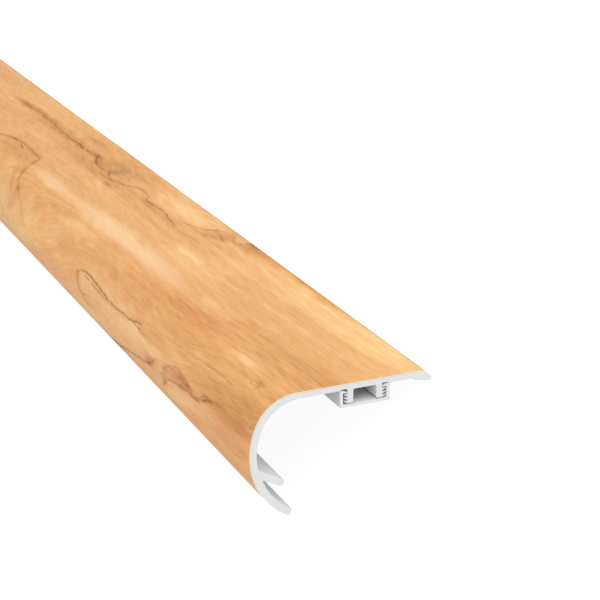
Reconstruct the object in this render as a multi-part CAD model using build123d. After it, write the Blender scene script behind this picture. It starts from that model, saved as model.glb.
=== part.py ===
from build123d import *
import os
from math import asin, atan2, cos, degrees, radians, sin, sqrt, tan

# Overlapping stair nosing: a printed film wrapped over an extruded bullnose profile, whose barbed legs
# are pushed into a fixing track. Sections are drawn as fitted on a stair: u runs from the nose back over
# the floor, v runs up, and v = 0 is the printed top face. The pieces are then tilted as they lie loose
# on a level floor, on the lip's tip and the back edge. All sizes are in millimetres and degrees.

# Overall
LENGTH = 2388.0
WIDTH = 70.0  # nose front to back edge

# Film, flange and bullnose. Angles on the nose run down from level about the front arc's centre.
FILM = 0.4
FLANGE_THICK = 2.2  # film included
NOSE_THICK = 2.7  # film included
TOP_RADIUS = 17.0  # top of the bullnose, at the printed face
TOP_RADIUS_INSIDE = 16.3
FRONT_RADIUS = 28.7  # front of the bullnose, at the printed face
FRONT_DROP = 21.7  # top face to where the nose reaches furthest forward
FILM_ANGLE = 30.0  # where the film ends under the nose
EDGE_RADIUS = 0.5  # rounding of the lip's end and the back edge

# Lip under the nose, a little tighter than the front arc
LIP_RADIUS = 26.5
LIP_THICK = 2.7
LIP_ANGLE = 61.5

# Support fin above the lip
FIN_ANGLE = 14.3  # where it leaves the nose wall
FIN_SLOPE = 28.2
FIN_LENGTH = 10.4
FIN_THICK = 2.7
FIN_ROOT_RADIUS = 0.3

# Back edge that overlaps the floor
CHAMFER_WIDTH = 2.6
CHAMFER_DROP = 2.5  # top face to the chamfer's lower edge
BACK_EDGE = 1.7  # upright face under the chamfer
FOOT_WIDTH = 6.5
FOOT_SLOPE = 9.5
FOOT_RAMP = 1.5
FILM_MARGIN = 0.2  # film edge to the chamfer

# Barbed legs under the flange
LEG_CENTRE = 43.8  # nose front to midway between the legs
LEG_GAP = 8.9
LEG_THICK = 2.2
LEG_LENGTH = 5.0
LEG_ROUND = 0.6
LEG_ROOT_RADIUS = 0.7
BARB_COUNT = 3
BARB_PITCH = 1.25
BARB_REACH = 1.25
BARB_RISE = 0.6
BARB_ROOT = 0.75
BARB_TIP = 0.25
RELIEF_DEPTH = 0.35  # shallow recess in the flange, over each track wall
RELIEF_RAMP = 0.6

# Fixing track
TRACK_WALL = 1.25
TRACK_BASE = 1.05
TRACK_ROUND = 0.4
HOOK_FALL = 0.8
HOOK_ROOT = 0.75
HOOK_TIP = 0.3
BARB_CLEARANCE = 0.5  # barb tip to track wall
HOOK_CLEARANCE = 0.15  # hook tip to leg
LEG_END_CLEARANCE = 0.45  # leg end to track floor
FLANGE_CLEARANCE = 0.2  # track top to flange

# Places that follow from the sizes
FRONT_CENTRE = Vector(FRONT_RADIUS, -FRONT_DROP)
PRINTED_LINE = (0, TOP_RADIUS, FRONT_RADIUS)
CORE_LINE = (FILM, TOP_RADIUS - FILM, FRONT_RADIUS - FILM)
INNER_LINE = (FLANGE_THICK, TOP_RADIUS_INSIDE, FRONT_RADIUS - NOSE_THICK)
FLAT_END = WIDTH - CHAMFER_WIDTH
FOOT_FRONT = WIDTH - FOOT_WIDTH
FOOT_TIP = -CHAMFER_DROP - BACK_EDGE
FOOT_RISE = tan(radians(FOOT_SLOPE))
LEG_OUTSIDE = LEG_GAP / 2 + LEG_THICK
TRACK_INSIDE = LEG_OUTSIDE + BARB_REACH + BARB_CLEARANCE
TRACK_OUTSIDE = TRACK_INSIDE + TRACK_WALL
TRACK_FLOOR = -LEG_LENGTH - LEG_END_CLEARANCE
FLANGE_UNDERSIDE = Pos(LEG_CENTRE, -FLANGE_THICK)


def on_nose(radius, angle, centre=FRONT_CENTRE):
    """Point at a radius about a centre, at an angle down from level on the nose side."""
    return centre - Vector(radius * cos(radians(angle)), radius * sin(radians(angle)))


def nose_arc(radius, from_angle, to_angle, centre=FRONT_CENTRE):
    """Arc about a centre between two angles down from level."""
    return CenterArc(centre, radius, 180 + from_angle, to_angle - from_angle)


LIP_CENTRE = on_nose(CORE_LINE[2] - LIP_RADIUS, FILM_ANGLE)
FIN_ROOT = on_nose(INNER_LINE[2], FIN_ANGLE)


def nose_line(line, back_u, end_angle):
    """Flat run at a depth, then the top arc and the front arc, each tangent to the last."""
    depth, top_radius, front_radius = line
    rise = FRONT_DROP - depth - top_radius
    run = sqrt((front_radius - top_radius) ** 2 - rise**2)
    top_centre = FRONT_CENTRE + Vector(-run, rise)
    join_angle = -degrees(atan2(rise, run))
    flat = Line((back_u, -depth), (top_centre.X, -depth))
    top_arc = CenterArc(top_centre, top_radius, 90, 90 + join_angle)
    return [flat, top_arc, nose_arc(front_radius, join_angle, end_angle)]


def nose_band(outer, inner, back_u, end_angle):
    """Face between two nose lines, closed by an upright at the back and a radial edge at the end."""
    back = Line((back_u, -outer[0]), (back_u, -inner[0]))
    end = Line(on_nose(outer[2], end_angle), on_nose(inner[2], end_angle))
    return make_face(nose_line(outer, back_u, end_angle) + nose_line(inner, back_u, end_angle) + [back, end])


def rounded(face, radius, *corners):
    """The face with the vertex nearest to each corner rounded."""
    return fillet([face.vertices().sort_by_distance(Vector(*c))[0] for c in corners], radius)


def polygon(*points):
    return make_face(Polyline(*points, close=True))


def film_section():
    """Printed film, from the back chamfer round to under the nose."""
    return nose_band(PRINTED_LINE, CORE_LINE, FLAT_END - FILM_MARGIN, FILM_ANGLE)


def lip_band(radius, from_angle, to_angle, centre):
    """Face of the lip's thickness inside an arc."""
    inside = radius - LIP_THICK
    ends = [Line(on_nose(radius, a, centre), on_nose(inside, a, centre)) for a in (from_angle, to_angle)]
    arcs = [nose_arc(r, from_angle, to_angle, centre) for r in (radius, inside)]
    return make_face(ends + arcs)


def lip_section():
    """Lip that curls back under the nose, from inside the fin's root to its rounded end."""
    corners = [on_nose(r, LIP_ANGLE, LIP_CENTRE) for r in (LIP_RADIUS, LIP_RADIUS - LIP_THICK)]
    lip = rounded(lip_band(LIP_RADIUS, FILM_ANGLE, LIP_ANGLE, LIP_CENTRE), EDGE_RADIUS, *corners)
    return lip + lip_band(CORE_LINE[2], FIN_ANGLE, FILM_ANGLE, FRONT_CENTRE)


def fin_section():
    """Straight fin with a full round tip, from the middle of the nose wall."""
    straight = FIN_LENGTH - FIN_THICK / 2
    buried = NOSE_THICK / 2
    fin = Pos((straight - buried) / 2) * Rectangle(straight + buried, FIN_THICK)
    return Pos(FIN_ROOT) * Rot(Z=-FIN_SLOPE) * (fin + Pos(straight) * Circle(FIN_THICK / 2))


def back_section():
    """Chamfered back edge, with a foot that slopes down to press on the floor."""
    front = FOOT_FRONT - FOOT_RAMP
    foot = polygon(
        (front, -FILM),
        (FLAT_END, -FILM),
        (WIDTH, -CHAMFER_DROP),
        (WIDTH, FOOT_TIP),
        (FOOT_FRONT, FOOT_TIP + FOOT_WIDTH * FOOT_RISE),
        (front, -FLANGE_THICK),
    )
    return rounded(foot, EDGE_RADIUS, (WIDTH, FOOT_TIP), (WIDTH, -CHAMFER_DROP), (FLAT_END, -FILM))


def barb_section(foot):
    """One barb on a leg's outside, pointing up against the pull."""
    tip = LEG_OUTSIDE + BARB_REACH
    return polygon(
        (LEG_OUTSIDE - LEG_THICK / 2, foot),
        (LEG_OUTSIDE, foot),
        (tip, foot + BARB_RISE),
        (tip, foot + BARB_RISE + BARB_TIP),
        (LEG_OUTSIDE, foot + BARB_ROOT),
        (LEG_OUTSIDE - LEG_THICK / 2, foot + BARB_ROOT),
    )


def leg_section():
    """Back leg with its barbs, drawn about the middle of the track, with v = 0 at the flange."""
    buried = (FLANGE_THICK - FILM) / 2
    inside = LEG_GAP / 2
    leg = polygon((inside, buried), (LEG_OUTSIDE, buried), (LEG_OUTSIDE, -LEG_LENGTH), (inside, -LEG_LENGTH))
    leg = rounded(leg, LEG_ROUND, (inside, -LEG_LENGTH))
    for n in range(BARB_COUNT):
        leg += barb_section(-LEG_LENGTH + n * BARB_PITCH)
    return leg


def relief_section():
    """Shallow recess in the flange between the back leg and the outside of the track."""
    return polygon(
        (LEG_OUTSIDE, 0),
        (TRACK_OUTSIDE, 0),
        (TRACK_OUTSIDE - RELIEF_RAMP, RELIEF_DEPTH),
        (LEG_OUTSIDE, RELIEF_DEPTH),
    )


def both_sides(section):
    """The section and its mirror image about the middle of the track, set under the flange."""
    return FLANGE_UNDERSIDE * (section + mirror(section, Plane.YZ))


def profile_section():
    """Flange, bullnose, lip, fin, back edge and legs of the one extrusion."""
    profile = nose_band(CORE_LINE, INNER_LINE, FOOT_FRONT - FOOT_RAMP, FILM_ANGLE)
    profile += [lip_section(), fin_section(), back_section(), both_sides(leg_section())]
    profile -= both_sides(relief_section())
    across_fin = Vector(0, FIN_THICK / 2).rotate(Axis.Z, -FIN_SLOPE)
    profile = rounded(profile, FIN_ROOT_RADIUS, FIN_ROOT + across_fin, FIN_ROOT - across_fin)
    leg_insides = [(LEG_CENTRE + side * LEG_GAP / 2, -FLANGE_THICK) for side in (-1, 1)]
    return rounded(profile, LEG_ROOT_RADIUS, *leg_insides)


def hook_section():
    """Hook at the top of the track's back wall, falling inwards to hold the barbs."""
    tip = LEG_OUTSIDE + HOOK_CLEARANCE
    top = -FLANGE_CLEARANCE
    return polygon(
        (TRACK_INSIDE, top),
        (tip, top - HOOK_FALL),
        (tip, top - HOOK_FALL - HOOK_TIP),
        (TRACK_INSIDE, top - HOOK_ROOT),
    )


def track_section():
    """Open channel with a hook on each wall."""
    top, bottom = -FLANGE_CLEARANCE, TRACK_FLOOR - TRACK_BASE
    half = polygon(
        (0, TRACK_FLOOR),
        (TRACK_INSIDE, TRACK_FLOOR),
        (TRACK_INSIDE, top),
        (TRACK_OUTSIDE, top),
        (TRACK_OUTSIDE, bottom),
        (0, bottom),
    )
    half = rounded(half, TRACK_ROUND, (TRACK_OUTSIDE, bottom), (TRACK_OUTSIDE, top))
    return both_sides(half + hook_section())


def rest_tilt():
    """Tilt that brings the lip's rounded end and the rounded back edge down to one level."""
    lip_radius = LIP_RADIUS - EDGE_RADIUS
    lip = on_nose(lip_radius, LIP_ANGLE - degrees(asin(EDGE_RADIUS / lip_radius)), LIP_CENTRE)
    slope = radians(FOOT_SLOPE)
    back = Vector(WIDTH - EDGE_RADIUS, FOOT_TIP + EDGE_RADIUS * (tan(slope) + 1 / cos(slope)))
    return degrees(atan2(back.Y - lip.Y, back.X - lip.X))


def main():
    sections = {
        "nosing_profile": profile_section(),
        "wood_film": film_section(),
        "snap_track": track_section(),
    }
    tilt = Rot(Y=rest_tilt())
    pieces = {
        name: tilt * extrude(Plane.XZ * section, amount=LENGTH / 2, both=True)
        for name, section in sections.items()
    }
    box = Compound([*pieces.values()]).bounding_box()
    to_floor = Pos(-box.center().X, -box.center().Y, -box.min.Z)
    os.makedirs("parts", exist_ok=True)
    for name, piece in pieces.items():
        export_step(to_floor * piece, f"parts/{name}.step")
    print("tilt", rest_tilt(), "size", box.size)


main()
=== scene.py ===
from math import asin, atan2, ceil, cos, degrees, radians, sin, sqrt, tan

import bpy
from mathutils import Matrix, Vector


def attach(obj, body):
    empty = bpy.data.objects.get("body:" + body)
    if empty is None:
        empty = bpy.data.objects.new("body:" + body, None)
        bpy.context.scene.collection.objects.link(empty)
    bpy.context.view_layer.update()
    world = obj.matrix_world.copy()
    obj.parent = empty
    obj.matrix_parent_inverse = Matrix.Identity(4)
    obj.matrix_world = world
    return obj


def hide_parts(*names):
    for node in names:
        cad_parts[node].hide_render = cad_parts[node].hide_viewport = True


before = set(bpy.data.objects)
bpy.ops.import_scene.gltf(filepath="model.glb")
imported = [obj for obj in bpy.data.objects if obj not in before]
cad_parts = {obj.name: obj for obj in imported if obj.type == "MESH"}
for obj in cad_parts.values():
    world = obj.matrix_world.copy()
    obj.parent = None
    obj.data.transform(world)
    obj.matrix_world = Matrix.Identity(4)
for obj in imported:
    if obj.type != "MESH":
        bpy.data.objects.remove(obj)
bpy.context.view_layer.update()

# Overlapping stair nosing: a printed film over an extruded bullnose profile, whose barbed legs sit in a
# fixing track. Sections are drawn in millimetres as fitted on a stair: u runs back from the nose and
# v runs up from the printed top face. The pieces are then tilted as they lie loose on a floor.

MM = 0.001
LENGTH = 2388.0
WIDTH = 70.0

# Film, flange and bullnose. Angles on the nose run down from level about the front arc's centre.
FILM = 0.4
FLANGE_THICK = 2.2
NOSE_THICK = 2.7
TOP_RADIUS = 17.0
TOP_RADIUS_INSIDE = 16.3
FRONT_RADIUS = 28.7
FRONT_DROP = 21.7
FILM_ANGLE = 30.0
EDGE_RADIUS = 0.5

# Lip and support fin
LIP_RADIUS = 26.5
LIP_THICK = 2.7
LIP_ANGLE = 61.5
FIN_ANGLE = 14.3
FIN_SLOPE = 28.2
FIN_LENGTH = 10.4
FIN_THICK = 2.7
FIN_ROOT_RADIUS = 0.3

# Back edge
CHAMFER_WIDTH = 2.6
CHAMFER_DROP = 2.5
BACK_EDGE = 1.7
FOOT_WIDTH = 6.5
FOOT_SLOPE = 9.5
FOOT_RAMP = 1.5
FILM_MARGIN = 0.2

# Barbed legs
LEG_CENTRE = 43.8
LEG_GAP = 8.9
LEG_THICK = 2.2
LEG_LENGTH = 5.0
LEG_ROUND = 0.6
LEG_ROOT_RADIUS = 0.7
BARB_COUNT = 3
BARB_PITCH = 1.25
BARB_REACH = 1.25
BARB_RISE = 0.6
BARB_ROOT = 0.75
BARB_TIP = 0.25
RELIEF_DEPTH = 0.35
RELIEF_RAMP = 0.6

# Fixing track
TRACK_WALL = 1.25
TRACK_BASE = 1.05
TRACK_ROUND = 0.4
HOOK_FALL = 0.8
HOOK_ROOT = 0.75
HOOK_TIP = 0.3
BARB_CLEARANCE = 0.5
HOOK_CLEARANCE = 0.15
LEG_END_CLEARANCE = 0.45
FLANGE_CLEARANCE = 0.2

# How finely the outlines are drawn, and the small bevel of the sawn ends
ARC_STEP = 2.0
CORNER_STEP = 15.0
CORNER_CHORD = 1.5
END_BEVEL = 0.08
SHARP_ANGLE = 25.0

# Bake map: least width of a face, gap between rows, and room for the sawn ends
LEAST_BAKED = 0.4
BAKE_GAP = 4.0
CAP_TALL = 50.0

# Places that follow from the sizes
FRONT_CENTRE = Vector((FRONT_RADIUS, -FRONT_DROP))
PRINTED_LINE = (0, TOP_RADIUS, FRONT_RADIUS)
CORE_LINE = (FILM, TOP_RADIUS - FILM, FRONT_RADIUS - FILM)
INNER_LINE = (FLANGE_THICK, TOP_RADIUS_INSIDE, FRONT_RADIUS - NOSE_THICK)
FLAT_END = WIDTH - CHAMFER_WIDTH
FOOT_FRONT = WIDTH - FOOT_WIDTH
FOOT_TIP = -CHAMFER_DROP - BACK_EDGE
FOOT_RISE = tan(radians(FOOT_SLOPE))
LEG_INSIDE = LEG_GAP / 2
LEG_OUTSIDE = LEG_INSIDE + LEG_THICK
TRACK_INSIDE = LEG_OUTSIDE + BARB_REACH + BARB_CLEARANCE
TRACK_OUTSIDE = TRACK_INSIDE + TRACK_WALL
TRACK_FLOOR = -LEG_LENGTH - LEG_END_CLEARANCE


# Outlines. An outline is a list of corners, each a point and the radius it is rounded to, which runs
# with the solid on its left.


def on_nose(radius, angle, centre=FRONT_CENTRE):
    """Point at a radius about a centre, at an angle down from level on the nose side."""
    return centre - Vector((radius * cos(radians(angle)), radius * sin(radians(angle))))


def angle_on_nose(point, centre=FRONT_CENTRE):
    """Angle down from level of a point on the nose."""
    return degrees(atan2(centre.y - point.y, centre.x - point.x))


LIP_CENTRE = on_nose(CORE_LINE[2] - LIP_RADIUS, FILM_ANGLE)
FIN_ROOT = on_nose(INNER_LINE[2], FIN_ANGLE)
FIN_ALONG = Vector((cos(radians(FIN_SLOPE)), -sin(radians(FIN_SLOPE))))
FIN_ACROSS = Vector((sin(radians(FIN_SLOPE)), cos(radians(FIN_SLOPE))))


def sharp(points):
    """Corners that aren't rounded."""
    return [(Vector(p), 0.0) for p in points]


def arc(radius, from_angle, to_angle, centre=FRONT_CENTRE):
    """Corners along an arc between two angles down from level."""
    steps = max(1, ceil(abs(to_angle - from_angle) / ARC_STEP))
    turn = (to_angle - from_angle) / steps
    return sharp(on_nose(radius, from_angle + n * turn, centre) for n in range(steps + 1))


def beside_corner(radius):
    """Angle of arc that is left as one chord beside a rounded corner."""
    return degrees(CORNER_CHORD / radius)


def nose_line(line, end_angle):
    """Top arc, then the front arc, of one of the nose's lines."""
    depth, top_radius, front_radius = line
    rise = FRONT_DROP - depth - top_radius
    run = sqrt((front_radius - top_radius) ** 2 - rise**2)
    top_centre = FRONT_CENTRE + Vector((-run, rise))
    join_angle = -degrees(atan2(rise, run))
    top = arc(top_radius, -90, join_angle, top_centre)
    return top + arc(front_radius, join_angle, end_angle)[1:]


def fin_side(side, wall_radius):
    """Where a side of the fin, 1 for the top and -1 for the bottom, meets the nose wall."""
    start = FIN_ROOT + FIN_ACROSS * side * FIN_THICK / 2
    offset = start - FRONT_CENTRE
    ahead = offset.dot(FIN_ALONG)
    reach = sqrt(ahead**2 - offset.length_squared + wall_radius**2)
    return start - FIN_ALONG * (ahead + reach)


def fin_tip():
    """Corners of the fin's full round tip, from its bottom side to its top side."""
    centre = FIN_ROOT + FIN_ALONG * (FIN_LENGTH - FIN_THICK / 2)
    steps = ceil(180 / CORNER_STEP)
    turns = [radians(-90 + 180 * n / steps) for n in range(steps + 1)]
    return sharp(centre + (FIN_ALONG * cos(a) + FIN_ACROSS * sin(a)) * FIN_THICK / 2 for a in turns)


def lip_corners():
    """Lip from the film's end round its tip and back to the fin's bottom side."""
    inside = LIP_RADIUS - LIP_THICK
    wall = CORE_LINE[2] - LIP_THICK
    fin_corner = fin_side(-1, wall)
    outer = arc(LIP_RADIUS, FILM_ANGLE, LIP_ANGLE - beside_corner(LIP_RADIUS), LIP_CENTRE)
    tip = [(on_nose(r, LIP_ANGLE, LIP_CENTRE), EDGE_RADIUS) for r in (LIP_RADIUS, inside)]
    inner = arc(inside, LIP_ANGLE - beside_corner(inside), FILM_ANGLE, LIP_CENTRE)
    root = arc(wall, FILM_ANGLE, angle_on_nose(fin_corner) + beside_corner(wall))
    return outer[1:] + tip + inner + root[1:] + [(fin_corner, FIN_ROOT_RADIUS)]


def inside_corners():
    """Nose wall from the fin's top side up to the flat underside of the flange."""
    radius = INNER_LINE[2]
    fin_corner = fin_side(1, radius)
    wall = nose_line(INNER_LINE, angle_on_nose(fin_corner) - beside_corner(radius))
    return [(fin_corner, FIN_ROOT_RADIUS)] + wall[::-1]


def under_flange(half):
    """Corners drawn for the back half of the track's middle, and their mirror image, under the flange."""
    middle = Vector((LEG_CENTRE, -FLANGE_THICK))
    front = [(Vector((-p.x, p.y)), r) for p, r in reversed(half)]
    return [(middle + p, r) for p, r in front + half]


def leg_corners():
    """Back leg with its barbs and the shallow recess over the track wall."""
    corners = [(Vector((LEG_INSIDE, 0)), LEG_ROOT_RADIUS), (Vector((LEG_INSIDE, -LEG_LENGTH)), LEG_ROUND)]
    tip = LEG_OUTSIDE + BARB_REACH
    for n in range(BARB_COUNT):
        foot = -LEG_LENGTH + n * BARB_PITCH
        barb = [
            (LEG_OUTSIDE, foot),
            (tip, foot + BARB_RISE),
            (tip, foot + BARB_RISE + BARB_TIP),
            (LEG_OUTSIDE, foot + BARB_ROOT),
        ]
        corners += sharp(barb)
    recess = [(LEG_OUTSIDE, RELIEF_DEPTH), (TRACK_OUTSIDE - RELIEF_RAMP, RELIEF_DEPTH), (TRACK_OUTSIDE, 0)]
    return corners + sharp(recess)


def back_corners():
    """Foot that presses on the floor, and the chamfered back edge."""
    foot = sharp(
        [(FOOT_FRONT - FOOT_RAMP, -FLANGE_THICK), (FOOT_FRONT, FOOT_TIP + FOOT_WIDTH * FOOT_RISE)]
    )
    edge = [(WIDTH, FOOT_TIP), (WIDTH, -CHAMFER_DROP), (FLAT_END, -FILM)]
    return foot + [(Vector(p), EDGE_RADIUS) for p in edge]


def profile_outline():
    front = nose_line(CORE_LINE, FILM_ANGLE) + lip_corners() + fin_tip() + inside_corners()
    return rounded(front + under_flange(leg_corners()) + back_corners())


def film_outline():
    """Printed face first, from the back edge, then the film's end under the nose and its inner face."""
    back_u = FLAT_END - FILM_MARGIN
    printed = sharp([(back_u, 0)]) + nose_line(PRINTED_LINE, FILM_ANGLE)
    inner = sharp([(back_u, -FILM)]) + nose_line(CORE_LINE, FILM_ANGLE)
    return rounded(printed + inner[::-1])


def track_outline():
    """Open channel with a hook on each wall."""
    top, bottom = -FLANGE_CLEARANCE, TRACK_FLOOR - TRACK_BASE
    hook = LEG_OUTSIDE + HOOK_CLEARANCE
    outside = [(Vector((TRACK_OUTSIDE, v)), TRACK_ROUND) for v in (bottom, top)]
    inside = [
        (TRACK_INSIDE, top),
        (hook, top - HOOK_FALL),
        (hook, top - HOOK_FALL - HOOK_TIP),
        (TRACK_INSIDE, top - HOOK_ROOT),
        (TRACK_INSIDE, TRACK_FLOOR),
    ]
    return rounded(under_flange(outside + sharp(inside)))


def rounded(corners):
    """Points of an outline with each corner rounded to its radius."""
    points = []
    for n, (corner, radius) in enumerate(corners):
        if not radius:
            points.append(corner)
            continue
        before = (corners[n - 1][0] - corner).normalized()
        after = (corners[(n + 1) % len(corners)][0] - corner).normalized()
        half = before.angle(after) / 2
        centre = corner + (before + after).normalized() * radius / sin(half)
        start = corner + before * radius / tan(half) - centre
        turn = start.angle_signed(corner + after * radius / tan(half) - centre)
        steps = ceil(abs(degrees(turn)) / CORNER_STEP)
        points += [centre + Matrix.Rotation(-turn * k / steps, 2) @ start for k in range(steps + 1)]
    return points


def inset(points, distance):
    """The outline moved inwards, for the bevel of a sawn end."""
    moved = []
    for n, point in enumerate(points):
        to_here = (point - points[n - 1]).normalized()
        onwards = (points[(n + 1) % len(points)] - point).normalized()
        inwards = [Vector((-d.y, d.x)) for d in (to_here, onwards)]
        moved.append(point + (inwards[0] + inwards[1]) * distance / (1 + inwards[0].dot(inwards[1])))
    return moved


# Placing the sections as the loose piece lies


def rest_tilt():
    """Tilt that brings the lip's rounded end and the rounded back edge down to one level."""
    lip_radius = LIP_RADIUS - EDGE_RADIUS
    lip = on_nose(lip_radius, LIP_ANGLE - degrees(asin(EDGE_RADIUS / lip_radius)), LIP_CENTRE)
    slope = radians(FOOT_SLOPE)
    back = Vector((WIDTH - EDGE_RADIUS, FOOT_TIP + EDGE_RADIUS * (tan(slope) + 1 / cos(slope))))
    return atan2(back.y - lip.y, back.x - lip.x)


def resting_place(outlines):
    """Matrix that takes a section point (u, along, v) in millimetres to the part's own frame."""
    tilt = Matrix.Rotation(rest_tilt(), 4, "Y")
    tilted = [tilt @ Vector((p.x, 0, p.y)) for outline in outlines for p in outline]
    middle = (min(p.x for p in tilted) + max(p.x for p in tilted)) / 2
    to_floor = Vector((-middle, 0, -min(p.z for p in tilted)))
    return Matrix.Scale(MM, 4) @ Matrix.Translation(to_floor) @ tilt


OUTLINES = {
    "nosing_profile": profile_outline(),
    "wood_film": film_outline(),
    "snap_track": track_outline(),
}
PLACE = resting_place(OUTLINES.values())


# Meshes


def add_object(name, data):
    made = bpy.data.objects.new(name, data)
    bpy.context.scene.collection.objects.link(made)
    return made


def steps_between(points):
    """Distance from each point of an outline to the next, and from the last to the first."""
    return [(points[(n + 1) % len(points)] - p).length for n, p in enumerate(points)]


def running_total(lengths):
    totals = [0.0]
    for length in lengths:
        totals.append(totals[-1] + length)
    return totals


class Extrusion:
    """Mesh of an outline along the whole length, with bevelled sawn ends, and two maps of its surface:
    one unrolled in metres for the materials, and one in stacked rows for baking."""

    def __init__(self, name, outline):
        self.outline = outline
        self.across = running_total(steps_between(outline))
        self.bake_across = running_total(max(d, LEAST_BAKED) for d in steps_between(outline))
        self.rows = max(1, round(sqrt(LENGTH / self.bake_across[-1])))
        self.rings = self.lengthwise_rings()
        self.build(name)
        self.draw_maps()

    def lengthwise_rings(self):
        """Places along the length where the outline is repeated, and the outline there."""
        sawn = inset(self.outline, END_BEVEL)
        row = LENGTH / self.rows
        rings = [(0.0, sawn), (END_BEVEL, self.outline)]
        rings += [(n * row, self.outline) for n in range(1, self.rows)]
        return rings + [(LENGTH - END_BEVEL, self.outline), (LENGTH, sawn)]

    def build(self, name):
        count = len(self.outline)
        ends = [PLACE @ Vector((p.x, along - LENGTH / 2, p.y)) for along, ring in self.rings for p in ring]
        faces = []
        for ring in range(len(self.rings) - 1):
            near, far = ring * count, (ring + 1) * count
            for k in range(count):
                after = (k + 1) % count
                faces.append((near + k, far + k, far + after, near + after))
        last = len(ends) - count
        faces.append(tuple(range(count)))
        faces.append(tuple(reversed(range(last, last + count))))
        self.mesh = bpy.data.meshes.new(name)
        self.mesh.from_pydata(ends, [], faces)
        self.mesh.shade_smooth()
        self.mesh.set_sharp_from_angle(angle=radians(SHARP_ANGLE))
        self.piece = add_object(name, self.mesh)

    def sides(self):
        """Each face along the length: its index, and the ring and outline point it starts from."""
        count = len(self.outline)
        return [(n, n // count, n % count) for n in range((len(self.rings) - 1) * count)]

    def caps(self):
        """The faces of the two ends."""
        first = (len(self.rings) - 1) * len(self.outline)
        return [first, first + 1]

    def bake_shift(self, ring):
        """Shift along the bake map, which gives the narrow bevels of the ends some room."""
        if ring == 0:
            return 0.5 * BAKE_GAP
        if ring == len(self.rings) - 1:
            return 1.5 * BAKE_GAP
        return BAKE_GAP

    def draw_maps(self):
        for name in ("Unrolled", "OFBake"):
            self.mesh.uv_layers.new(name=name)
        unrolled, baked = [self.mesh.uv_layers[name].data for name in ("Unrolled", "OFBake")]
        row_tall = self.bake_across[-1] + BAKE_GAP
        row_long = LENGTH / self.rows
        caps_at = self.rows * row_tall
        scale = 1 / max(row_long + 2 * BAKE_GAP, caps_at + CAP_TALL)
        for face, ring, k in self.sides():
            row = min(max(ring - 1, 0), self.rows - 1)
            corners = ((ring, k), (ring + 1, k), (ring + 1, k + 1), (ring, k + 1))
            for loop, (r, c) in zip(self.mesh.polygons[face].loop_indices, corners):
                along = self.rings[r][0]
                unrolled[loop].uv = (along * MM, self.across[c] * MM)
                baked[loop].uv = (
                    (along - row * row_long + self.bake_shift(r)) * scale,
                    (row * row_tall + self.bake_across[c]) * scale,
                )
        for cap, face in enumerate(self.caps()):
            for loop in self.mesh.polygons[face].loop_indices:
                point = self.outline[self.mesh.loops[loop].vertex_index % len(self.outline)]
                unrolled[loop].uv = (point.x * MM, point.y * MM)
                place = (point.x + BAKE_GAP + cap * (WIDTH + BAKE_GAP), caps_at + CAP_TALL + point.y)
                baked[loop].uv = (place[0] * scale, place[1] * scale)


# Shader nodes

SEED_STEP = 7.3  # from the noise of one seed to that of the next
PATCH_CORE = 0.85  # nearness to a patch's middle from which it is at its full strength


def srgb(red, green, blue):
    """Linear colour of screen values from 0 to 255."""
    linear = [((c / 255 + 0.055) / 1.055) ** 2.4 for c in (red, green, blue)]
    return (*linear, 1.0)


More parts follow.
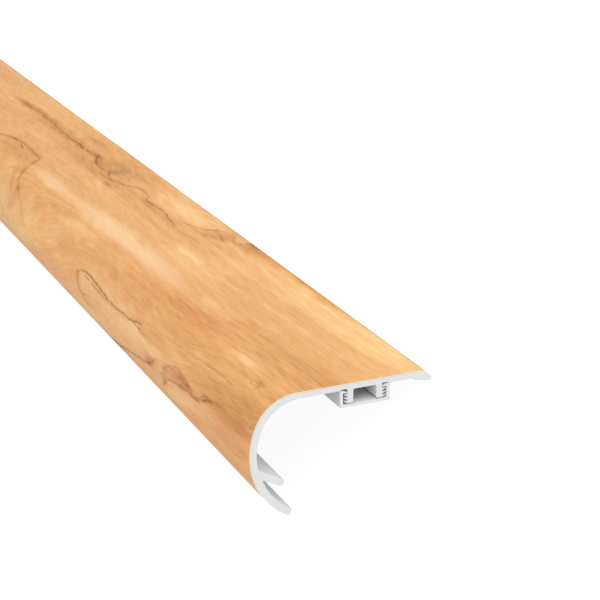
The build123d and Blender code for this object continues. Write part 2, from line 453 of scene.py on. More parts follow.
class Shader:
    """Nodes of one material. A value is a number, a colour, or an output of another node."""

    def __init__(self, name):
        self.material = bpy.data.materials.new(name)
        self.material.use_nodes = True
        self.tree = self.material.node_tree
        self.surface = self.tree.nodes["Principled BSDF"]

    def sheet_place(self, shift=0.0):
        """Place on the unrolled surface in millimetres, along and across."""
        unrolled = self.node("UVMap", {}, uv_map="Unrolled").outputs[0]
        inputs = {"Vector": unrolled, "Location": (0.0, -shift, 0.0), "Scale": (1 / MM, 1 / MM, 1.0)}
        return self.node("Mapping", inputs).outputs[0]

    def set(self, socket, value):
        if isinstance(value, bpy.types.NodeSocket):
            self.tree.links.new(value, socket)
        else:
            socket.default_value = value

    def node(self, kind, inputs, **settings):
        node = self.tree.nodes.new("ShaderNode" + kind)
        for name, value in settings.items():
            setattr(node, name, value)
        for key, value in inputs.items():
            self.set(node.inputs[key], value)
        return node

    def math(self, operation, *values):
        return self.node("Math", dict(enumerate(values)), operation=operation).outputs[0]

    def spread(self, value, start, end, low, high, kind="LINEAR"):
        """The value's way from start to end, as a way from low to high."""
        inputs = {"Value": value, "From Min": start, "From Max": end, "To Min": low, "To Max": high}
        return self.node("MapRange", inputs, interpolation_type=kind).outputs["Result"]

    def fade(self, value, start, end, low=0.0, high=1.0):
        return self.spread(value, start, end, low, high, "SMOOTHSTEP")

    def blend(self, factor, below, above):
        return self.node("Mix", {0: factor, 2: below, 3: above}).outputs[0]

    def mix(self, factor, below, above, kind="MIX"):
        inputs = {0: factor, 6: below, 7: above}
        return self.node("Mix", inputs, data_type="RGBA", blend_type=kind).outputs[2]

    def combine(self, x, y):
        return self.node("CombineXYZ", {"X": x, "Y": y}).outputs[0]

    def local(self, place, middle, size, slope=0.0):
        """Place measured from a middle in units of a size along and across, turned to a slope."""
        inputs = {
            "Vector": place,
            "Location": middle,
            "Rotation": (0.0, 0.0, atan2(slope, 1.0)),
            "Scale": (*size, 1.0),
        }
        return self.node("Mapping", inputs, vector_type="TEXTURE").outputs[0]

    def noise(self, place, size, seed, detail=2.0, slope=0.0):
        """Noise from 0 to 1 whose features have a size along and across, both in millimetres."""
        local = self.local(place, (0.0, 0.0, -SEED_STEP * seed), size, slope)
        return self.node("TexNoise", {"Vector": local, "Scale": 1.0, "Detail": detail}).outputs[0]

    def curve(self, value, points):
        """Smooth curve through points, flat beyond its ends."""
        xs, ys = zip(*points)
        low, high = min(ys), max(ys)
        unit = self.spread(value, xs[0], xs[-1], 0.0, 1.0)
        node = self.node("FloatCurve", {"Value": unit})
        drawn = node.mapping.curves[0].points
        for _ in points[2:]:
            drawn.new(0.5, 0.5)
        for n, (x, y) in enumerate(points):
            drawn[n].location = ((x - xs[0]) / (xs[-1] - xs[0]), (y - low) / max(high - low, 1e-6))
            drawn[n].handle_type = "AUTO_CLAMPED"
        node.mapping.update()
        return self.spread(node.outputs[0], 0.0, 1.0, low, high)

    def ramp(self, value, stops):
        node = self.node("ValToRGB", {"Fac": value})
        elements = node.color_ramp.elements
        for _ in stops[2:]:
            elements.new(0.5)
        for element, (place, colour) in zip(elements, stops):
            element.position = place
            element.color = colour
        return node.outputs[0]

    def finish(self, colour, roughness, gloss):
        """Colour, roughness and strength of the reflections."""
        self.set(self.surface.inputs["Base Color"], colour)
        self.set(self.surface.inputs["Roughness"], roughness)
        self.surface.inputs["Specular IOR Level"].default_value = gloss

    def relief(self, height, depth):
        """Shallow relief of the surface, as deep as stated in millimetres."""
        inputs = {"Height": height, "Strength": 1.0, "Distance": depth * MM}
        self.set(self.surface.inputs["Normal"], self.node("Bump", inputs).outputs[0])

    def patch(self, place, middle, size, slope=0.0):
        """1 in the middle of an oval patch, falling to 0 at its edge. Sizes are half its axes."""
        local = self.local(place, (*middle, 0.0), size, slope)
        nearness = self.node("TexGradient", {"Vector": local}, gradient_type="SPHERICAL").outputs[1]
        return self.fade(nearness, 0.0, PATCH_CORE)


# Wood print. Places are in millimetres: along from the near end, and across from a line close to the
# film's back edge, over the top and down the nose.
EDGE_STRIP = 0.8  # print behind that line

# How far the grain has drifted across by each place along, near the back edge, mid-face and on the nose
DRIFT_BACK = [(0, 0), (100, 6), (200, 6), (330, 4), (480, 7), (700, 2), (1000, 9), (1400, 0), (2388, 8)]
DRIFT_MIDDLE = [
    (0, 0), (60, 5.5), (120, 11), (160, 12), (330, 11), (420, 15), (700, 8), (1200, 18), (2388, 4),
]
DRIFT_NOSE = [
    (0, 0), (50, 6), (110, 14), (190, 17), (245, 29), (300, 34), (360, 38), (900, 34), (1500, 50),
    (2388, 30),
]

# Dark lines of the spalted wood that run along the film: along, across and strength
LONG_LINE = [
    (146, 19.0, 0.0), (165, 18.9, 0.2), (175, 19.2, 0.25), (183, 20.9, 0.4), (191, 21.6, 0.35),
    (200, 21.0, 0.45), (206, 19.9, 0.6), (215, 19.1, 0.8), (223, 18.0, 0.6), (232, 18.2, 0.75),
    (240, 18.8, 0.7), (245, 18.4, 0.6), (250, 16.5, 0.55), (256, 15.4, 0.6), (263, 14.9, 0.7),
    (268, 16.8, 0.75), (273, 19.4, 0.6), (277, 20.6, 0.6), (282, 21.5, 0.5), (287, 23.2, 0.6),
    (293, 22.2, 0.8), (298, 20.4, 0.85), (302, 20.0, 0.75), (306, 21.0, 0.85), (313, 20.8, 0.8),
    (319, 20.2, 0.95), (324, 18.8, 1.0), (329, 17.2, 1.0), (334, 15.2, 0.95), (338, 16.5, 0.6),
    (345, 17.0, 0.75), (352, 17.8, 0.8), (358, 16.8, 0.85), (366, 16.9, 0.7), (380, 17.5, 0.6),
    (400, 17.0, 0.55), (435, 15.9, 0.5), (465, 17.2, 0.5), (478, 18.4, 0.4), (490, 19.0, 0.0),
]
LOOP_TOP = [
    (116, 69.8, 0.0), (118.5, 70.4, 0.45), (121, 70.9, 0.6), (125, 71.3, 0.8), (128, 72.2, 0.85),
    (133, 72.7, 0.9), (145, 73.3, 0.8), (157, 73.6, 0.85), (165, 73.0, 0.9), (172, 72.3, 0.9),
    (181, 71.7, 0.9), (190, 71.2, 0.8), (197, 71.9, 0.65), (202, 73.6, 0.4), (205, 75.5, 0.0),
]
LOOP_TOP_INSIDE = [
    (158, 74.2, 0.0), (166, 74.4, 0.7), (174, 74.0, 0.9), (182, 73.6, 0.7), (189, 73.2, 0.95),
    (195, 73.3, 0.5), (199, 74.0, 0.0),
]
LOOP_START = [
    (112, 73.5, 0.0), (115, 73.2, 0.9), (119, 73.1, 1.0), (123, 72.8, 1.0), (127, 72.4, 0.6),
    (131, 72.4, 0.0),
]
LOOP_CURL = [(182, 80.0, 0.0), (187, 80.2, 0.5), (192, 81.2, 0.6), (196, 82.0, 0.5), (199, 81.6, 0.0)]
LOOP_CURL_LOW = [(183, 86.2, 0.0), (187, 84.4, 0.6), (191, 84.8, 0.6), (195, 83.2, 0.5), (199, 82.4, 0.0)]
NOSE_LINE = [
    (24, 71.8, 0.0), (33, 72.3, 0.5), (40, 73.6, 0.8), (46, 75.4, 0.85), (52, 77.3, 0.75),
    (58, 77.6, 0.65), (66, 78.4, 0.6), (74, 79.4, 0.6), (80, 80.4, 0.5), (88, 82.5, 0.3), (94, 84.5, 0.0),
]
NOSE_HOOK = [(41, 72.5, 0.0), (44, 73.0, 0.5), (47, 74.4, 0.5), (50, 76.0, 0.4), (53, 77.0, 0.0)]
NOSE_SPUR = [(84, 82.0, 0.0), (87, 83.6, 0.5), (89.5, 85.0, 0.7), (91.5, 86.6, 0.5), (94, 88.5, 0.0)]
NOSE_MARK = [
    (52, 76.4, 0.0), (57, 76.8, 0.6), (61, 75.8, 0.7), (65, 76.5, 0.6), (69, 75.7, 0.6), (75, 77.2, 0.0),
]
NOSE_EDGE = [
    (60, 75.4, 0.0), (67, 74.6, 0.4), (74, 73.4, 0.35), (80, 74.6, 0.35), (86, 77.0, 0.45),
    (90, 80.5, 0.0),
]
LOW_LINE = [
    (93, 76.8, 0.0), (98, 78.2, 0.4), (101, 80.0, 0.5), (106, 82.6, 0.65), (112, 83.9, 0.6),
    (120, 85.2, 0.65), (130, 87.2, 0.7), (138, 88.4, 0.7), (144, 89.8, 0.9), (150, 91.4, 0.95),
    (158, 92.8, 0.95), (166, 94.0, 0.8), (174, 95.5, 0.4), (180, 97.0, 0.0),
]
FAR_LOOP = [
    (333, 49.0, 0.0), (336, 47.5, 0.4), (339, 45.2, 0.6), (343, 43.7, 0.65), (350, 44.0, 0.55),
    (360, 43.2, 0.5), (370, 43.2, 0.55), (378, 43.0, 0.6), (385, 44.4, 0.8), (392, 46.2, 0.8),
    (400, 48.6, 0.7), (408, 53.0, 0.5), (422, 58.0, 0.0),
]
FAR_LOOP_HOOK = [(363, 46.8, 0.0), (368, 45.9, 1.0), (374, 44.6, 0.9), (379, 43.6, 0.0)]
SPOT_LINE = [
    (164, 10.6, 0.0), (168, 10.0, 0.3), (171, 9.2, 0.35), (173.5, 8.5, 0.65), (175.5, 8.0, 0.6),
    (177.5, 7.4, 0.2), (183, 5.4, 0.0),
]
FINE_LINE = [
    (26, 62.4, 0.0), (31, 62.6, 0.3), (44, 63.0, 0.35), (60, 64.3, 0.35), (82, 66.0, 0.25),
    (104, 67.8, 0.0),
]
POCKET_LINE = [
    (162.5, 5.9, 0.0), (164, 6.3, 0.5), (166, 6.1, 0.5), (168, 5.2, 0.45), (170.5, 4.2, 0.4),
    (173, 3.0, 0.35), (176.5, 2.0, 0.35), (179, 1.2, 0.0),
]

# Lines that run across the film: across, along and strength
BACK_LINE = [
    (0, 179, 0.1), (3, 182, 0.2), (5, 185, 0.4), (7, 187, 0.55), (9, 188, 0.55), (11, 190.5, 0.5),
    (12.5, 195, 0.5), (14, 199, 0.55), (15.5, 203, 0.4), (17, 209, 0.2), (18.5, 215, 0.0),
]
BACK_HOOK = [(-1, 159, 0.9), (1, 161, 0.85), (2.5, 162.2, 0.7), (4.5, 162.6, 0.5), (5.8, 163.2, 0.0)]
LOOP_END = [
    (71.5, 199, 0.0), (73, 202.2, 0.7), (75, 203.8, 0.95), (77, 203.4, 0.9), (79, 202.4, 0.9),
    (81, 200.6, 0.8), (83, 196, 0.7), (85, 190, 0.0),
]
FAR_BAND = [
    (43.5, 344, 0.0), (45, 339, 0.4), (48, 335, 0.6), (51, 332, 0.55), (55, 329, 0.5), (58, 326.5, 0.6),
    (62, 322, 0.8), (65, 316, 0.7), (68, 310, 0.45), (71, 302, 0.4), (77, 296, 0.2), (84, 293, 0.0),
]
FAR_BAND_TWO = [
    (59, 338, 0.0), (62, 331, 0.5), (66, 327, 0.6), (70, 324, 0.55), (75, 323, 0.5), (80, 324, 0.4),
    (88, 328, 0.0),
]

# Soft stripes along the grain: along, across and strength
DARK_STRIPES = [
    [(-10, 33.5, 0.9), (25, 36.0, 0.8), (60, 39.5, 0.7), (80, 42, 0.0)],
    [(-10, 44.5, 0.8), (30, 46.5, 0.9), (70, 49.5, 0.7), (110, 53, 0.5), (140, 55, 0.0)],
    [(-10, 67.5, 0.9), (20, 68.4, 0.8), (50, 70, 0.5), (80, 72, 0.0)],
    [(-10, 72, 1.0), (10, 73, 1.0), (30, 74.5, 0.8), (44, 76, 0.0)],
    [(60, 25.7, 0.0), (75, 27.2, 0.8), (90, 28.8, 0.8), (115, 31, 0.3), (140, 33, 0.0)],
    [(200, 61, 0.0), (215, 65, 0.5), (230, 70, 0.7), (250, 78, 0.5), (275, 86, 0.0)],
]
LIGHT_STRIPES = [
    [(-10, 15.2, 0.8), (25, 18.4, 0.9), (60, 22.6, 0.7), (100, 27, 0.0)],
    [(-10, 38.5, 0.3), (30, 41, 0.4), (60, 44.5, 0.3), (90, 47, 0.0)],
    [(20, 52.6, 0.0), (35, 53.2, 0.7), (60, 55.5, 0.5), (80, 58, 0.0)],
    [(70, 40.5, 0.0), (85, 41, 0.6), (105, 44, 0.5), (125, 46, 0.0)],
]

# Softly lighter and darker areas: middle, half size, slope and change of tone
AREAS = [
    ((35, 2), (115, 17), 0.02, 0.30),
    ((36, 8), (40, 6), 0.1, 0.08),
    ((88, -0.5), (58, 5), 0.01, -0.27),
    ((112, 9), (70, 10), 0.0, 0.16),
    ((150, 1), (26, 8), 0.1, -0.22),
    ((154, -1), (10, 2.4), 0.0, -0.16),
    ((178, 9), (16, 8), 0.35, -0.18),
    ((220, 8), (44, 10), 0.05, 0.16),
    ((300, 11), (46, 15), 0.0, -0.14),
    ((318, 13), (9, 4), 0.0, -0.10),
    ((320, 25), (85, 6), 0.0, -0.14),
    ((390, 17), (110, 6.5), 0.0, -0.18),
    ((465, 18), (28, 4), 0.0, -0.16),
    ((14, 36), (80, 9), 0.1, -0.12),
    ((20, 46.5), (44, 4), 0.08, -0.08),
    ((82, 52), (44, 6), 0.08, -0.12),
    ((150, 33), (48, 15), 0.0, 0.15),
    ((160, 29), (22, 4), -0.1, 0.14),
    ((270, 34), (95, 7), 0.0, 0.09),
    ((195, 43), (70, 9), 0.0, 0.1),
    ((195, 47), (95, 9), 0.0, 0.26),
    ((238, 21), (26, 4), 0.0, -0.12),
    ((290, 50), (60, 6), 0.0, 0.16),
    ((80, 58), (115, 7), 0.05, -0.05),
    ((225, 58), (42, 9), 0.2, 0.14),
    ((190, 78), (420, 17), 0.0, 0.25),
    ((25, 69), (80, 10), 0.1, -0.16),
    ((48, 75.6), (12, 2), 0.3, -0.12),
    ((72, 76.6), (20, 4.6), 0.08, -0.2),
    ((62, 75.8), (8, 2.4), 0.1, -0.12),
    ((14, 73), (40, 5.5), 0.1, -0.1),
    ((104, 81.5), (10, 3.2), 0.5, -0.18),
    ((125, 73.9), (5, 1.2), 0.05, 0.24),
    ((123, 71.9), (4, 0.8), 0.1, 0.2),
    ((38, 52.8), (14, 2.2), 0.03, 0.14),
    ((22, 58.4), (6, 2), 0.0, 0.12),
    ((150, 17), (46, 5), 0.0, 0.1),
    ((430, 3), (110, 9), 0.0, 0.06),
    ((445, 16), (50, 5), 0.0, -0.08),
    ((215, 2), (22, 4), 0.0, -0.12),
    ((87, 79), (4, 5), 0.5, -0.1),
    ((89.5, 85), (5, 2.8), 0.6, -0.16),
    ((140, 79), (36, 6), 0.05, 0.16),
    ((210, 76), (14, 7), 0.2, -0.10),
    ((290, 78), (60, 12), 0.2, 0.12),
    ((362, 50), (52, 10), 0.0, -0.16),
    ((384, 44.5), (12, 2.6), 0.1, -0.18),
    ((17, 56), (7, 3), 0.0, -0.16),
    ((72, 86), (22, 6), 0.15, 0.12),
    ((150, 91), (20, 3), 0.15, -0.20),
    ((115, 19), (95, 9), 0.03, 0.08),
    ((205, 25), (32, 4), 0.0, 0.09),
    ((334, 15.5), (16, 4), 0.0, -0.1),
    ((362, 8), (26, 5), 0.0, -0.12),
    ((395, 30), (34, 6), 0.0, 0.09),
    ((62, 31.5), (16, 3.5), 0.05, 0.08),
    ((332, 57), (14, 5), 0.0, -0.1),
    ((0, 56), (10, 4), 0.05, -0.12),
    ((215, 64), (20, 5), 0.2, 0.1),
    ((160, 88), (160, 6), 0.05, 0.06),
    ((20, 80.5), (36, 5.5), 0.1, -0.15),
    ((105, 72), (28, 4.5), 0.05, -0.1),
]

# Places where the dark lines crumble into small crooked ones: middle, half size and strength
CRUMBLES = [
    ((18, 56), (8, 4), 1.0),
    ((70, 76.6), (20, 4.0), 1.6),
    ((92, 82), (18, 7), 1.1),
    ((121, 72), (10, 3.5), 1.0),
    ((180, 73), (22, 3.5), 0.8),
    ((190, 83), (14, 5), 1.1),
    ((170, 6), (16, 9), 0.5),
    ((300, 13), (20, 7), 0.25),
    ((334, 15.5), (10, 4), 0.8),
    ((384, 44), (16, 4), 0.8),
]

# Parts with a hue of their own: middle, half size and tint
TINTS = [
    ((182, 49), (50, 8), srgb(255, 249, 254)),
    ((86, 52.5), (44, 6), srgb(255, 244, 244)),
    ((225, 68), (22, 9), srgb(255, 243, 240)),
    ((150, 62), (60, 10), srgb(255, 249, 253)),
    ((70, 77), (30, 7), srgb(255, 240, 246)),
    ((10, 73), (40, 8), srgb(255, 246, 246)),
    ((400, 8), (150, 24), srgb(255, 255, 248)),
    ((270, 80), (90, 16), srgb(255, 248, 236)),
    ((104, 82), (14, 6), srgb(255, 240, 240)),
    ((118, 89), (26, 5), srgb(255, 244, 226)),
    ((20, 8), (60, 12), srgb(255, 255, 247)),
    ((110, 1), (70, 6), srgb(255, 247, 232)),
    ((60, 88), (50, 7), srgb(255, 244, 230)),
    ((232, 84), (24, 8), srgb(255, 246, 252)),
    ((300, 12), (34, 10), srgb(249, 253, 242)),
    ((105, 71.5), (30, 5.5), srgb(252, 242, 238)),
    ((18, 80), (38, 7), srgb(250, 238, 234)),
    ((200, 80), (150, 9), srgb(255, 243, 238)),
    ((140, 80), (44, 8), srgb(255, 246, 240)),
]

# Soft washes over the grain: middle, half size, amount and colour
PINK, OLIVE, RUST = srgb(247, 206, 162), srgb(166, 122, 68), srgb(196, 132, 84)
WASHES = [
    ((150, 46), (48, 8), 0.5, PINK),
    ((215, 48), (70, 8), 0.45, PINK),
    ((292, 50), (40, 6), 0.5, PINK),
    ((165, 2), (9, 4), 0.4, PINK),
    ((37, 52.6), (12, 2.4), 0.5, PINK),
    ((98, 42.5), (12, 3), 0.4, PINK),
    ((298, 15.5), (9, 7), 0.55, OLIVE),
    ((280, 27.3), (8, 2.8), 0.4, OLIVE),
    ((334, 15), (6, 2.5), 0.3, OLIVE),
    ((72, 77), (19, 4), 0.25, RUST),
    ((88, 81), (7, 6), 0.3, RUST),
    ((105, 82), (10, 4), 0.4, RUST),
    ((16, 72.5), (26, 4), 0.3, RUST),
    ((232, 69), (18, 6), 0.15, RUST),
]

# Colours of the wood from dark brown to pale cream
WOOD_COLOURS = [
    (0.0, srgb(140, 86, 24)),
    (0.16, srgb(176, 115, 50)),
    (0.31, srgb(207, 146, 88)),
    (0.42, srgb(221, 159, 98)),
    (0.52, srgb(230, 169, 108)),
    (0.66, srgb(239, 183, 122)),
    (0.76, srgb(243, 193, 132)),
    (0.85, srgb(247, 202, 138)),
    (0.95, srgb(251, 212, 156)),
]

# What the wood is multiplied by in its warmer parts, in the thin lines, and along the back edge as a
# painted shade of the film's rounded edge
WARM = srgb(255, 246, 236)
LINE_COLOUR = srgb(150, 124, 76)
# painted shade along the film's back edge
PAINTED_EDGE_SHADE = srgb(220, 238, 246)
CREAM_AT_ENDS = srgb(252, 228, 196)  # pale cream over the print next to each sawn end

# Tone of plain wood, and how far each kind of mark changes it
PLAIN_TONE = 0.55
DARK_STRIPE_TONE = -0.09
LIGHT_STRIPE_TONE = 0.1
SHADE_TONE = -0.14
BAND_TONE = -0.24
PALE_CORNER_TONE = 0.09

# Width to each side of the stripes and bands, depth of the lines, and where the placed marks give way
# to the same wood made by noise alone
STRIPE_WIDTH = 5.0
BAND_WIDTH = 5.0
LINE_DEPTH = 0.88
CRUMBLE_DEPTH = 0.4
MARKS_END = (470, 600)


class WoodPrint(Shader):
    """The film's printed wood."""

    def __init__(self):
        super().__init__("wood_print")
        self.sheet = self.sheet_place(EDGE_STRIP)
        parts = self.node("SeparateXYZ", {0: self.sheet})
        self.along, self.across = parts.outputs[0], parts.outputs[1]
        self.flow = self.combine(self.along, self.grain_place())
        self.fibres = self.noise(self.flow, (11, 0.45), seed=5)
        self.calm = self.fade(self.across, 46, 80, 1.0, 0.55)
        self.ragged = self.noise(self.sheet, (16, 6), seed=6, detail=3.0)
        self.wobble = self.spread(self.noise(self.sheet, (6, 3), seed=2), 0, 1, -0.8, 0.8)
        self.breaks = self.fade(self.noise(self.sheet, (5, 2), seed=7), 0.3, 0.6, 0.3, 1.0)
        wood = self.washed(self.tinted(self.ramp(self.tone(), WOOD_COLOURS)))
        # the back edge gets a painted shade, then the strip at each sawn end turns pale cream
        colour = self.paler_at_ends(self.painted_shade_at_back(self.lined(wood)))
        self.finish(colour, self.spread(self.fibres, 0.2, 0.8, 0.42, 0.54), gloss=0.07)
        self.relief(self.fibres, 0.02)

    def add(self, value, extra, amount):
        return self.math("MULTIPLY_ADD", extra, amount, value)

    def most(self, values):
        top = values[0]
        for value in values[1:]:
            top = self.math("MAXIMUM", top, value)
        return top

    def grain_place(self):
        """Place across the grain, which drifts and sways along the film."""
        back, middle, nose = [self.curve(self.along, d) for d in (DRIFT_BACK, DRIFT_MIDDLE, DRIFT_NOSE)]
        upper = self.blend(self.fade(self.across, 5, 38), back, middle)
        drift = self.blend(self.fade(self.across, 46, 90), upper, nose)
        sway = self.spread(self.noise(self.sheet, (150, 40), seed=1, detail=1.0), 0, 1, -5, 5)
        return self.math("ADD", self.math("SUBTRACT", self.across, drift), sway)

    def beside(self, points, steep=False):
        """Distance past a line drawn through places, below zero before it, and its strength there."""
        run, offset = (self.across, self.along) if steep else (self.along, self.across)
        middle = self.curve(run, [(p[0], p[1]) for p in points])
        strength = self.curve(run, [(p[0], p[2]) for p in points])
        return self.math("SUBTRACT", self.math("ADD", offset, self.wobble), middle), strength

    def stroke(self, points, width, steep=False):
        """A soft stroke along a line, as wide to each side as stated."""
        past, strength = self.beside(points, steep)
        return self.math("MULTIPLY", self.fade(self.math("ABSOLUTE", past), width, 0.0), strength)

    def strokes(self, along, across):
        """The lines along the film and those across it, each with its width."""
        drawn = [self.stroke(points, width) for points, width in along]
        drawn += [self.stroke(points, width, steep=True) for points, width in across]
        return self.most(drawn)

    def on_level(self, noise, outer, inner):
        """Crooked lines where a noise passes its middle value."""
        return self.fade(self.math("ABSOLUTE", self.math("SUBTRACT", noise, 0.5)), outer, inner)

    def crumbled(self):
        """Small crooked lines in the places where the dark lines crumble."""
        patches = [(self.patch(self.sheet, *place), strength) for *place, strength in CRUMBLES]
        where = self.most([self.math("MULTIPLY", patch, strength) for patch, strength in patches])
        crooked = self.on_level(self.noise(self.sheet, (5, 1.8), seed=8, detail=3.0), 0.03, 0.005)
        return self.math("MULTIPLY", crooked, where)

    def far_lines(self):
        """Crooked dark lines here and there along the rest of the length."""
        crooked = self.on_level(self.noise(self.sheet, (130, 24), seed=9, detail=4.0), 0.011, 0.001)
        here = self.fade(self.noise(self.sheet, (260, 50), seed=10, detail=1.0), 0.46, 0.6)
        return self.math("MULTIPLY", self.math("MULTIPLY", crooked, here), self.further())

    def further(self):
        """1 along the part of the length beyond the placed marks."""
        return self.fade(self.along, *MARKS_END)

    def lines(self):
        """Darkness of all the thin lines."""
        along = [
            (LONG_LINE, 0.9), (LOOP_TOP, 0.8), (LOOP_TOP_INSIDE, 0.6), (LOOP_START, 0.6), (LOOP_CURL, 0.8),
            (LOOP_CURL_LOW, 0.8), (NOSE_LINE, 1.2), (NOSE_HOOK, 0.7), (NOSE_SPUR, 1.6), (NOSE_MARK, 0.9),
            (NOSE_EDGE, 1.2), (LOW_LINE, 1.0), (FAR_LOOP, 0.8), (FAR_LOOP_HOOK, 0.7), (SPOT_LINE, 0.8),
            (POCKET_LINE, 0.7), (FINE_LINE, 0.7),
        ]
        across = [(BACK_LINE, 1.4), (BACK_HOOK, 1.4), (LOOP_END, 1.4)]
        drawn = self.math("MULTIPLY", self.strokes(along, across), self.breaks)
        crumbled = self.math("MULTIPLY", self.crumbled(), CRUMBLE_DEPTH)
        return self.most([drawn, crumbled, self.far_lines()])

    def lined(self, colour):
        """The colour, darker along the thin lines."""
        return self.mix(self.math("MULTIPLY", self.lines(), LINE_DEPTH), colour, LINE_COLOUR, "MULTIPLY")

    def shades(self):
        """Soft darkness beside the lines."""
        along = [
            (LONG_LINE, 4.0), (LOOP_TOP, 2.0), (NOSE_LINE, 3.0), (NOSE_SPUR, 2.5), (LOW_LINE, 3.0),
            (FAR_LOOP, 4.0),
        ]
        across = [(BACK_LINE, 3.5), (BACK_HOOK, 5.0), (LOOP_END, 6.0)]
        return self.strokes(along, across)

    def pale_corner(self):
        """Pale wood that ends sharply at the line across the back edge and at the long line."""
        after = self.fade(self.beside(BACK_LINE, steep=True)[0], -0.4, 0.8)
        above = self.fade(self.beside(LONG_LINE)[0], 0.5, -1.0)
        until = self.fade(self.add(self.along, self.ragged, 40.0), 290, 262)
        return self.math("MULTIPLY", self.math("MULTIPLY", after, above), until)

    def tone(self):
        """Lightness of the wood, from 0 for dark brown to 1 for pale cream."""
        shift = self.math("SUBTRACT", self.ragged, 0.5)
        uneven = self.combine(self.add(self.along, shift, 32.0), self.add(self.across, shift, 8.0))
        tone = PLAIN_TONE
        for middle, size, slope, change in AREAS:
            tone = self.add(tone, self.patch(uneven, middle, size, slope), change)
        for stripes, change in ((DARK_STRIPES, DARK_STRIPE_TONE), (LIGHT_STRIPES, LIGHT_STRIPE_TONE)):
            tone = self.add(tone, self.strokes([(points, STRIPE_WIDTH) for points in stripes], []), change)
        tone = self.add(tone, self.shades(), SHADE_TONE)
        bands = self.strokes([], [(points, BAND_WIDTH) for points in (FAR_BAND, FAR_BAND_TWO)])
        tone = self.add(tone, bands, BAND_TONE)
        tone = self.add(tone, self.pale_corner(), PALE_CORNER_TONE)
        for noise, contrast in self.grain():
            tone = self.add(tone, self.math("SUBTRACT", noise, 0.5), contrast)
        patches = self.spread(self.noise(self.flow, (230, 24), seed=12), 0.3, 0.7, -0.22, 0.22)
        return self.add(tone, self.math("MULTIPLY", patches, self.further()), 1.0)

    def grain(self):
        """Noises along the grain, from broad to fine, and the contrast of each."""
        return [
            (self.noise(self.flow, (190, 9), seed=14, detail=3.0), self.math("MULTIPLY", self.calm, 0.36)),
            (self.noise(self.flow, (60, 2.2), seed=15, detail=3.0), self.math("MULTIPLY", self.calm, 0.28)),
            (self.noise(self.flow, (13, 2.1), seed=11, detail=3.0, slope=-0.18), 0.3),
            (self.fibres, 0.46),
        ]

    def tinted(self, colour):
        """The wood's colour with the parts that are pinker, yellower or more orange."""
        for middle, size, tint in TINTS:
            colour = self.mix(self.patch(self.sheet, middle, size), colour, tint, "MULTIPLY")
        warm = self.fade(self.noise(self.flow, (45, 5), seed=13), 0.5, 0.75)
        return self.mix(warm, colour, WARM, "MULTIPLY")

    def washed(self, colour):
        """The wood's colour under the soft washes, which let the fibres show."""
        strength = self.spread(self.fibres, 0.25, 0.75, 1.3, 0.7)
        for middle, size, amount, wash in WASHES:
            there = self.math("MULTIPLY", self.patch(self.sheet, middle, size), amount)
            colour = self.mix(self.math("MULTIPLY", there, strength), colour, wash)
        return colour

    def painted_shade_at_back(self, colour):
        """The colour, darkened along the film's back edge as painted shade."""
        return self.mix(self.fade(self.across, -0.05, -0.35), colour, PAINTED_EDGE_SHADE, "MULTIPLY")

    def paler_at_ends(self, colour):
        """The colour, blended to pale cream within about half a millimetre of each sawn end."""
        from_end = self.math("MINIMUM", self.along, self.math("SUBTRACT", LENGTH, self.along))
        return self.mix(self.fade(from_end, 0.55, 0.15), colour, CREAM_AT_ENDS)


# Vinyl and its sawn ends

BLADE_CENTRE = (20.0, -140.0, 0.0)  # middle of the saw blade, in the section's own millimetres


class Vinyl(Shader):
    """Extruded vinyl: a faintly mottled colour with die lines along the length."""

    def __init__(self, name, light, dark):
        super().__init__(name)
        sheet = self.sheet_place()
        die_lines = self.noise(sheet, (700, 0.5), seed=1, detail=3.0)
        mottle = self.noise(sheet, (30, 6), seed=2, detail=3.0)
        shade = self.fade(self.math("MULTIPLY_ADD", mottle, 0.6, die_lines), 0.55, 1.05)
        self.finish(self.mix(shade, dark, light), self.spread(mottle, 0.25, 0.75, 0.36, 0.5), gloss=0.3)
        self.relief(die_lines, 0.02)


class SawnEnd(Shader):
    """A sawn end: fine curved marks of the blade over a slightly uneven colour."""

    def __init__(self, name, light, dark):
        super().__init__(name)
        sheet = self.sheet_place()
        from_blade = self.local(sheet, BLADE_CENTRE, (1.0, 1.0))
        radius = self.node("VectorMath", {0: from_blade}, operation="LENGTH").outputs["Value"]
        marks = self.noise(self.combine(radius, 0.0), (0.35, 1.0), seed=3, detail=3.0)
        grain = self.noise(sheet, (0.6, 0.6), seed=4)
        shade = self.fade(self.math("MULTIPLY_ADD", grain, 0.7, marks), 0.55, 1.15)
        self.finish(self.mix(shade, dark, light), self.spread(marks, 0.25, 0.75, 0.5, 0.66), gloss=0.2)
        self.relief(shade, 0.01)


# Pieces, each with the material of its length and that of its sawn ends, and the film with its print. The
# colours are pairs, light and dark.

WHITE = (srgb(238, 239, 239), srgb(230, 231, 231))
CREAM = (srgb(252, 232, 204), srgb(240, 212, 178))
WHITE_VINYL = [Vinyl("vinyl_core", *WHITE).material, SawnEnd("sawn_core", *WHITE).material]
BARE_FILM = [Vinyl("film_back", *CREAM).material, SawnEnd("sawn_film", *CREAM).material]
FINISHES = {
    "nosing_profile": WHITE_VINYL,
    "wood_film": BARE_FILM + [WoodPrint().material],
    "snap_track": WHITE_VINYL,
}


def printed_faces(extrusion):
    """Faces of the film's outer side, without the bevels of its ends."""
    outer = len(extrusion.outline) // 2 - 1
    last = len(extrusion.rings) - 2
    return [face for face, ring, k in extrusion.sides() if k < outer and 0 < ring < last]


for node, outline in OUTLINES.items():
    made = Extrusion(node + "_fine", outline)
    for material in FINISHES[node]:
        made.mesh.materials.append(material)
    for face in made.caps():
        made.mesh.polygons[face].material_index = 1
    if node == "wood_film":
        for face in printed_faces(made):
            made.mesh.polygons[face].material_index = 2
    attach(made.piece, "root")
    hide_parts(node)


# Stage, in metres

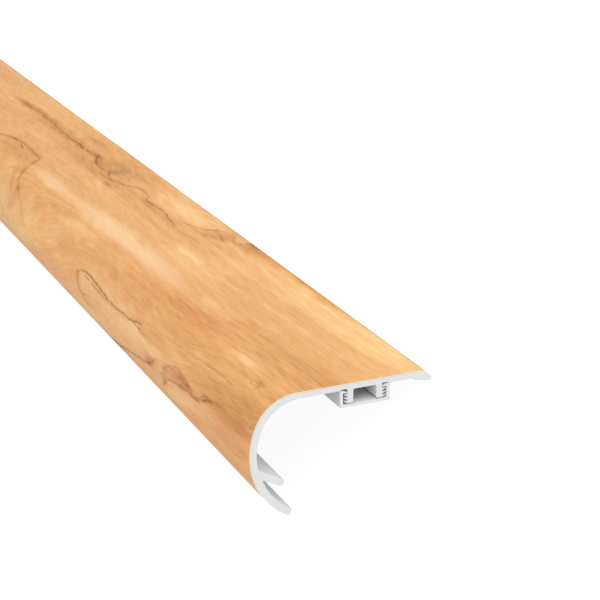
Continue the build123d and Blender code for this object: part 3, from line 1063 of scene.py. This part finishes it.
FLOOR_HALF = 40.0
FLOOR_PALE = (0.8, 0.8, 0.8, 1)
FLOOR_GLOW = 0.94  # what the camera sees of the floor even in shadow
FLOOR_SHADOWED = (0.1, 0.1, 0.1, 1)  # takes the light that falls outside the shadow
SKY_STRENGTH = 0.8
KEY_SIZE = 2.0
KEY_POWER = 30
KEY_AT = Vector((1.2, -2.6, 2.4))
KEY_TARGET = Vector((0, -1.0, 0))


class PaleFloor(Shader):
    """White to the camera with a faint shadow, and a plain pale floor to the light."""

    def __init__(self):
        super().__init__("floor")
        path = self.node("LightPath", {}).outputs
        shiny = self.math("MAXIMUM", path["Is Glossy Ray"], path["Is Transmission Ray"])
        seen = self.math("MAXIMUM", path["Is Camera Ray"], shiny)
        shadowed = self.node("BsdfDiffuse", {"Color": FLOOR_SHADOWED}).outputs[0]
        glow = self.node("Emission", {"Strength": FLOOR_GLOW}).outputs[0]
        white = self.node("AddShader", {0: shadowed, 1: glow}).outputs[0]
        pale = self.node("BsdfDiffuse", {"Color": FLOOR_PALE}).outputs[0]
        either = self.node("MixShader", {0: seen, 1: pale, 2: white}).outputs[0]
        self.tree.links.new(either, self.tree.nodes["Material Output"].inputs["Surface"])
        self.tree.nodes.remove(self.surface)


def add_floor(half):
    mesh = bpy.data.meshes.new("floor")
    corners = [(-half, -half, 0), (half, -half, 0), (half, half, 0), (-half, half, 0)]
    mesh.from_pydata(corners, [], [(0, 1, 2, 3)])
    mesh.materials.append(PaleFloor().material)
    plane = add_object("floor", mesh)


def add_sky(strength):
    """White surroundings that light the piece, and look as white as the floor to the camera."""
    world = bpy.data.worlds.new("studio")
    bpy.context.scene.world = world
    world.use_nodes = True
    nodes, links = world.node_tree.nodes, world.node_tree.links
    lit = nodes["Background"]
    lit.inputs["Color"].default_value = (1, 1, 1, 1)
    lit.inputs["Strength"].default_value = strength
    seen = nodes.new("ShaderNodeBackground")
    seen.inputs["Color"].default_value = (1, 1, 1, 1)
    mix = nodes.new("ShaderNodeMixShader")
    links.new(nodes.new("ShaderNodeLightPath").outputs["Is Camera Ray"], mix.inputs[0])
    links.new(lit.outputs[0], mix.inputs[1])
    links.new(seen.outputs[0], mix.inputs[2])
    links.new(mix.outputs[0], nodes["World Output"].inputs["Surface"])


def add_key_light():
    """Large soft lamp before the photographed end."""
    key = bpy.data.lights.new("key", "AREA")
    key.shape = "DISK"
    key.size = KEY_SIZE
    key.energy = KEY_POWER
    lamp = add_object("key", key)
    lamp.location = KEY_AT
    lamp.rotation_euler = (KEY_TARGET - KEY_AT).to_track_quat("-Z", "Y").to_euler()


add_floor(FLOOR_HALF)
add_sky(SKY_STRENGTH)
add_key_light()


# Camera of the photograph, in the section's own directions
CAMERA_AT = Vector((-197.4, -LENGTH / 2 - 498.0, 228.1))
CAMERA_LOOK = Vector((0.3758, 0.8632, -0.3371))
CAMERA_UP = Vector((0.1432, 0.3054, 0.9414))
FOCAL_PIXELS = 1717
IMAGE_PIXELS = 600
SENSOR_WIDTH = 36


def add_camera():
    camera = bpy.data.cameras.new("camera")
    camera.sensor_width = SENSOR_WIDTH
    camera.lens = FOCAL_PIXELS / IMAGE_PIXELS * SENSOR_WIDTH
    turn = PLACE.to_3x3().normalized()
    look = (turn @ CAMERA_LOOK).normalized()
    right = look.cross(turn @ CAMERA_UP).normalized()
    up = right.cross(look)
    axes = Matrix((right, up, -look)).transposed().to_4x4()
    view = add_object("camera", camera)
    view.matrix_world = Matrix.Translation(PLACE @ CAMERA_AT) @ axes
    bpy.context.scene.camera = view


add_camera()
bpy.context.scene.view_settings.view_transform = "Standard"
